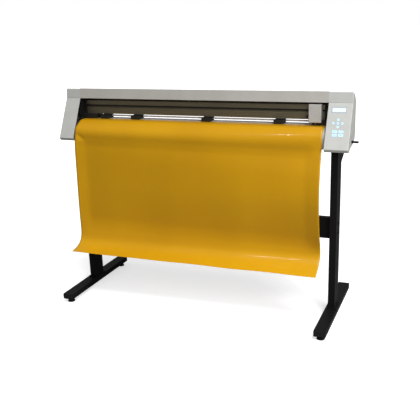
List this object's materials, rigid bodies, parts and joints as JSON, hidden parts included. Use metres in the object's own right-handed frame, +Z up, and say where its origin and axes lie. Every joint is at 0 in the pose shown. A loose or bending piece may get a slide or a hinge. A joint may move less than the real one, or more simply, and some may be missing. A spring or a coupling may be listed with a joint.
{
  "type": "vinyl cutter",
  "caption": "Floor-standing vinyl cutter: wide body with sloping end covers, guide beam, knife carriage, pinch wheels, operator panel and hanging sheet, on a stand with foot tubes.",
  "frame": {"origin": "on the floor, midway between the outermost points in X and midway between the front and rear ends of the feet", "axes": "+Z up, +X to the operator's right, -Y towards the operator"},
  "size_m": [1.633, 0.636, 1.1732],
  "materials": {
    "stand_black": "satin powder coat",
    "cover_white": "satin powder coat",
    "cover_plastic": "fine satin",
    "black_plastic": "matt",
    "black_steel": "matt black paint",
    "sheet_zinc": "bare galvanised sheet",
    "roller_steel": "drawn tube",
    "shaft_steel": "ground",
    "grit_steel": "knurled",
    "bed_grey": "satin",
    "strip_plastic": "matt",
    "beam_aluminium": "bronze anodised",
    "pulley_aluminium": "machined",
    "board_green": "solder mask",
    "screen": "lit liquid-crystal panel",
    "motor_black": "satin",
    "belt_rubber": "matt",
    "carriage_steel": "plain",
    "carriage_plastic": "fine satin",
    "knife_metal": "turned",
    "yellow_vinyl": "satin film",
    "wheel_rubber": "matt",
    "key_blue": "translucent, lit from behind"
  },
  "bodies": {
    "machine": {"feet": "stand_black", "foot_end_plugs": "black_plastic", "left_leg": "stand_black", "right_leg": "stand_black", "crossbar": "stand_black", "stand_bolts": "black_steel", "roller_arms": "stand_black", "chassis_pan": "cover_white", "front_apron": "cover_white", "platen": "bed_grey", "cutting_strip": "strip_plastic", "left_side_plate": "black_steel", "right_side_plate": "black_steel", "beam": "beam_aluminium", "beam_end_blocks": "black_plastic", "top_cover": "cover_white", "left_end_cover": "cover_plastic", "right_end_cover": "cover_plastic", "power_supply": "sheet_zinc", "control_boards": "board_green", "lcd_module": "screen", "rear_sockets": "black_plastic", "shaft_bearings": "shaft_steel", "stepper_motors": "motor_black", "timing_belts": "belt_rubber", "vinyl_sheet": "yellow_vinyl"},
    "levelling_feet": {"levelling_feet": "black_plastic"},
    "front_roller": {"front_media_roller": "roller_steel"},
    "rear_roller": {"rear_media_roller": "roller_steel"},
    "power_rocker": {"rocker_switch": "black_plastic"},
    "feed_shaft": {"drive_shaft": "shaft_steel", "grit_rollers": "grit_steel"},
    "feed_pinion": {"feed_motor_pulley": "pulley_aluminium"},
    "carriage": {"carriage_frame": "carriage_steel", "carriage_cover": "carriage_plastic"},
    "carriage_pinion": {"carriage_motor_pulley": "pulley_aluminium"},
    "idler": {"belt_idler": "pulley_aluminium"},
    "knife": {"tool_slider": "pulley_aluminium", "blade_holder": "knife_metal"},
    "knife_clamp": {"clamp_knob": "black_plastic"},
    "lift_lever": {"lift_lever": "black_steel"},
    "lift_bar": {"lift_shaft": "bed_grey"},
    "lift_link": {"lift_link": "sheet_zinc"},
    "pinch_unit_1": {"pinch_arm_1": "black_plastic"},
    "pinch_roller_1": {"pinch_wheel_1": "wheel_rubber"},
    "pinch_unit_2": {"pinch_arm_2": "black_plastic"},
    "pinch_roller_2": {"pinch_wheel_2": "wheel_rubber"},
    "pinch_unit_3": {"pinch_arm_3": "black_plastic"},
    "pinch_roller_3": {"pinch_wheel_3": "wheel_rubber"},
    "pinch_unit_4": {"pinch_arm_4": "black_plastic"},
    "pinch_roller_4": {"pinch_wheel_4": "wheel_rubber"},
    "key_centre": {"key_centre": "key_blue"},
    "key_up": {"key_up": "key_blue"},
    "key_down": {"key_down": "key_blue"},
    "key_left": {"key_left": "key_blue"},
    "key_right": {"key_right": "key_blue"},
    "key_menu": {"key_menu": "key_blue"},
    "key_enter": {"key_enter": "key_blue"},
    "key_test": {"key_test": "key_blue"},
    "key_pause": {"key_pause": "key_blue"}
  },
  "joints": [
    {"name": "levelling_feet_screw", "type": "slide", "parent": "machine", "child": "levelling_feet", "axis": [0, 0, -1], "range_m": [0, 0.01]},
    {"name": "front_roller_spin", "type": "hinge", "parent": "machine", "child": "front_roller", "pos_m": [0, 0.13, 0.936], "axis": [1, 0, 0], "continuous": true},
    {"name": "rear_roller_spin", "type": "hinge", "parent": "machine", "child": "rear_roller", "pos_m": [0, 0.212, 0.944], "axis": [1, 0, 0], "continuous": true},
    {"name": "power_rocker_tilt", "type": "hinge", "parent": "machine", "child": "power_rocker", "pos_m": [0.7255, 0.08, 1.022], "axis": [1, 0, 0], "range_deg": [0, 16]},
    {"name": "feed_shaft_spin", "type": "hinge", "parent": "machine", "child": "feed_shaft", "pos_m": [0, 0.002, 0.9944], "axis": [1, 0, 0], "continuous": true},
    {"name": "feed_pinion_spin", "type": "hinge", "parent": "machine", "child": "feed_pinion", "pos_m": [0.675, 0.038, 0.947], "axis": [1, 0, 0], "continuous": true},
    {"name": "carriage_travel", "type": "slide", "parent": "machine", "child": "carriage", "axis": [-1, 0, 0], "range_m": [0, 1.25]},
    {"name": "carriage_pinion_spin", "type": "hinge", "parent": "machine", "child": "carriage_pinion", "pos_m": [0.697, 0.025, 1.075], "axis": [0, 0, 1], "range_deg": [-6900, 0]},
    {"name": "idler_spin", "type": "hinge", "parent": "machine", "child": "idler", "pos_m": [-0.7445, 0.025, 1.075], "axis": [0, 0, 1], "range_deg": [-6900, 0]},
    {"name": "knife_lift", "type": "slide", "parent": "carriage", "child": "knife", "axis": [0, 0, 1], "range_m": [-0.004, 0], "stiffness_N_per_m": 300, "springref_m": 0.012},
    {"name": "knife_clamp_turn", "type": "hinge", "parent": "knife", "child": "knife_clamp", "pos_m": [0.568, -0.017, 1.05], "axis": [1, 0, 0], "continuous": true},
    {"name": "lift_lever_swing", "type": "hinge", "parent": "machine", "child": "lift_lever", "pos_m": [0.755, 0, 0.942], "axis": [1, 0, 0], "range_deg": [-30, 0]},
    {"name": "lift_bar_turn", "type": "hinge", "parent": "machine", "child": "lift_bar", "pos_m": [0, 0.042, 1.018], "axis": [1, 0, 0], "range_deg": [-6, 0]},
    {"name": "lift_link_rise", "type": "slide", "parent": "machine", "child": "lift_link", "axis": [0, 0, 1], "range_m": [0, 0.0055]},
    {"name": "pinch_unit_1_slide", "type": "slide", "parent": "lift_bar", "child": "pinch_unit_1", "axis": [1, 0, 0], "range_m": [-0.018, 0.06]},
    {"name": "pinch_roller_1_spin", "type": "hinge", "parent": "pinch_unit_1", "child": "pinch_roller_1", "pos_m": [-0.5945, 0.002, 1.0148], "axis": [1, 0, 0], "continuous": true},
    {"name": "pinch_unit_2_slide", "type": "slide", "parent": "lift_bar", "child": "pinch_unit_2", "axis": [1, 0, 0], "range_m": [-0.06, 0.18]},
    {"name": "pinch_roller_2_spin", "type": "hinge", "parent": "pinch_unit_2", "child": "pinch_roller_2", "pos_m": [-0.4025, 0.002, 1.0148], "axis": [1, 0, 0], "continuous": true},
    {"name": "pinch_unit_3_slide", "type": "slide", "parent": "lift_bar", "child": "pinch_unit_3", "axis": [1, 0, 0], "range_m": [-0.18, 0.17]},
    {"name": "pinch_roller_3_spin", "type": "hinge", "parent": "pinch_unit_3", "child": "pinch_roller_3", "pos_m": [0.0165, 0.002, 1.0148], "axis": [1, 0, 0], "continuous": true},
    {"name": "pinch_unit_4_slide", "type": "slide", "parent": "lift_bar", "child": "pinch_unit_4", "axis": [1, 0, 0], "range_m": [-0.16, 0.145]},
    {"name": "pinch_roller_4_spin", "type": "hinge", "parent": "pinch_unit_4", "child": "pinch_roller_4", "pos_m": [0.4095, 0.002, 1.0148], "axis": [1, 0, 0], "continuous": true},
    {"name": "key_centre_press", "type": "slide", "parent": "machine", "child": "key_centre", "axis": [0, 0.8927, -0.4506], "range_m": [0, 0.0008], "stiffness_N_per_m": 400, "springref_m": -0.0005},
    {"name": "key_up_press", "type": "slide", "parent": "machine", "child": "key_up", "axis": [0, 0.8927, -0.4506], "range_m": [0, 0.0008], "stiffness_N_per_m": 400, "springref_m": -0.0005},
    {"name": "key_down_press", "type": "slide", "parent": "machine", "child": "key_down", "axis": [0, 0.8927, -0.4506], "range_m": [0, 0.0008], "stiffness_N_per_m": 400, "springref_m": -0.0005},
    {"name": "key_left_press", "type": "slide", "parent": "machine", "child": "key_left", "axis": [0, 0.8927, -0.4506], "range_m": [0, 0.0008], "stiffness_N_per_m": 400, "springref_m": -0.0005},
    {"name": "key_right_press", "type": "slide", "parent": "machine", "child": "key_right", "axis": [0, 0.8927, -0.4506], "range_m": [0, 0.0008], "stiffness_N_per_m": 400, "springref_m": -0.0005},
    {"name": "key_menu_press", "type": "slide", "parent": "machine", "child": "key_menu", "axis": [0, 0.8927, -0.4506], "range_m": [0, 0.0008], "stiffness_N_per_m": 400, "springref_m": -0.0005},
    {"name": "key_enter_press", "type": "slide", "parent": "machine", "child": "key_enter", "axis": [0, 0.8927, -0.4506], "range_m": [0, 0.0008], "stiffness_N_per_m": 400, "springref_m": -0.0005},
    {"name": "key_test_press", "type": "slide", "parent": "machine", "child": "key_test", "axis": [0, 0.8927, -0.4506], "range_m": [0, 0.0008], "stiffness_N_per_m": 400, "springref_m": -0.0005},
    {"name": "key_pause_press", "type": "slide", "parent": "machine", "child": "key_pause", "axis": [0, 0.8927, -0.4506], "range_m": [0, 0.0008], "stiffness_N_per_m": 400, "springref_m": -0.0005}
  ],
  "couplings": [
    {"joint": "feed_pinion_spin", "follows": "feed_shaft_spin", "ratio": 2.5},
    {"joint": "carriage_pinion_spin", "follows": "carriage_travel", "rad_per_m": -96.154},
    {"joint": "idler_spin", "follows": "carriage_travel", "rad_per_m": -96.154},
    {"joint": "lift_bar_turn", "follows": "lift_lever_swing", "ratio": 0.1915},
    {"joint": "lift_link_rise", "follows": "lift_lever_swing", "m_per_rad": -0.00989}
  ]
}
